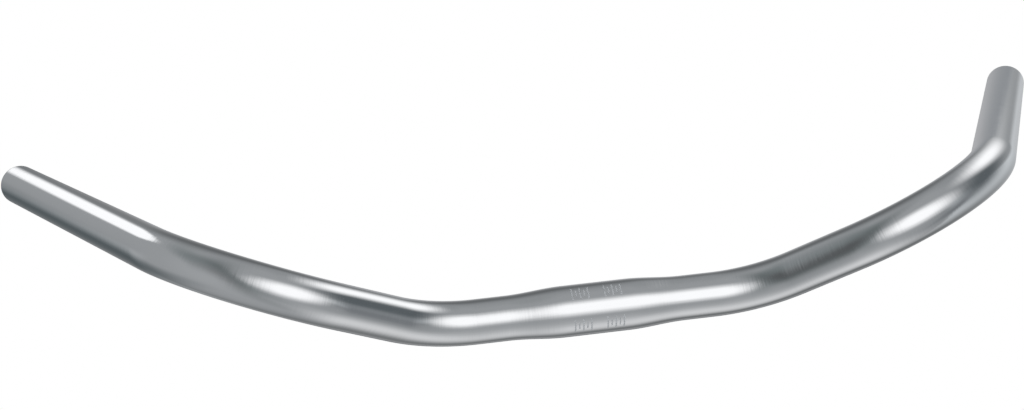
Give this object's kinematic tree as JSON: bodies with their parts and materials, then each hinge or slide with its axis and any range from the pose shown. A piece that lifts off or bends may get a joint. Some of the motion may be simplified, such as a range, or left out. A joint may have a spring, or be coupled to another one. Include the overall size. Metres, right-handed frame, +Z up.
{
  "type": "city bike handlebar",
  "caption": "One-piece bent aluminium tube handlebar with a thick clamp zone in the middle and open, swept-back grip ends.",
  "frame": {"origin": "centre of the clamp zone, on the tube's axis", "axes": "+X along the clamp zone towards the rider's left hand, +Y back towards the rider, +Z up, with the grips level"},
  "size_m": [0.6138, 0.2343, 0.0753],
  "materials": {
    "bar_metal": "polished, bright anodised, with a fine grain round the tube"
  },
  "bodies": {
    "root": {"handlebar": "bar_metal"}
  },
  "joints": []
}
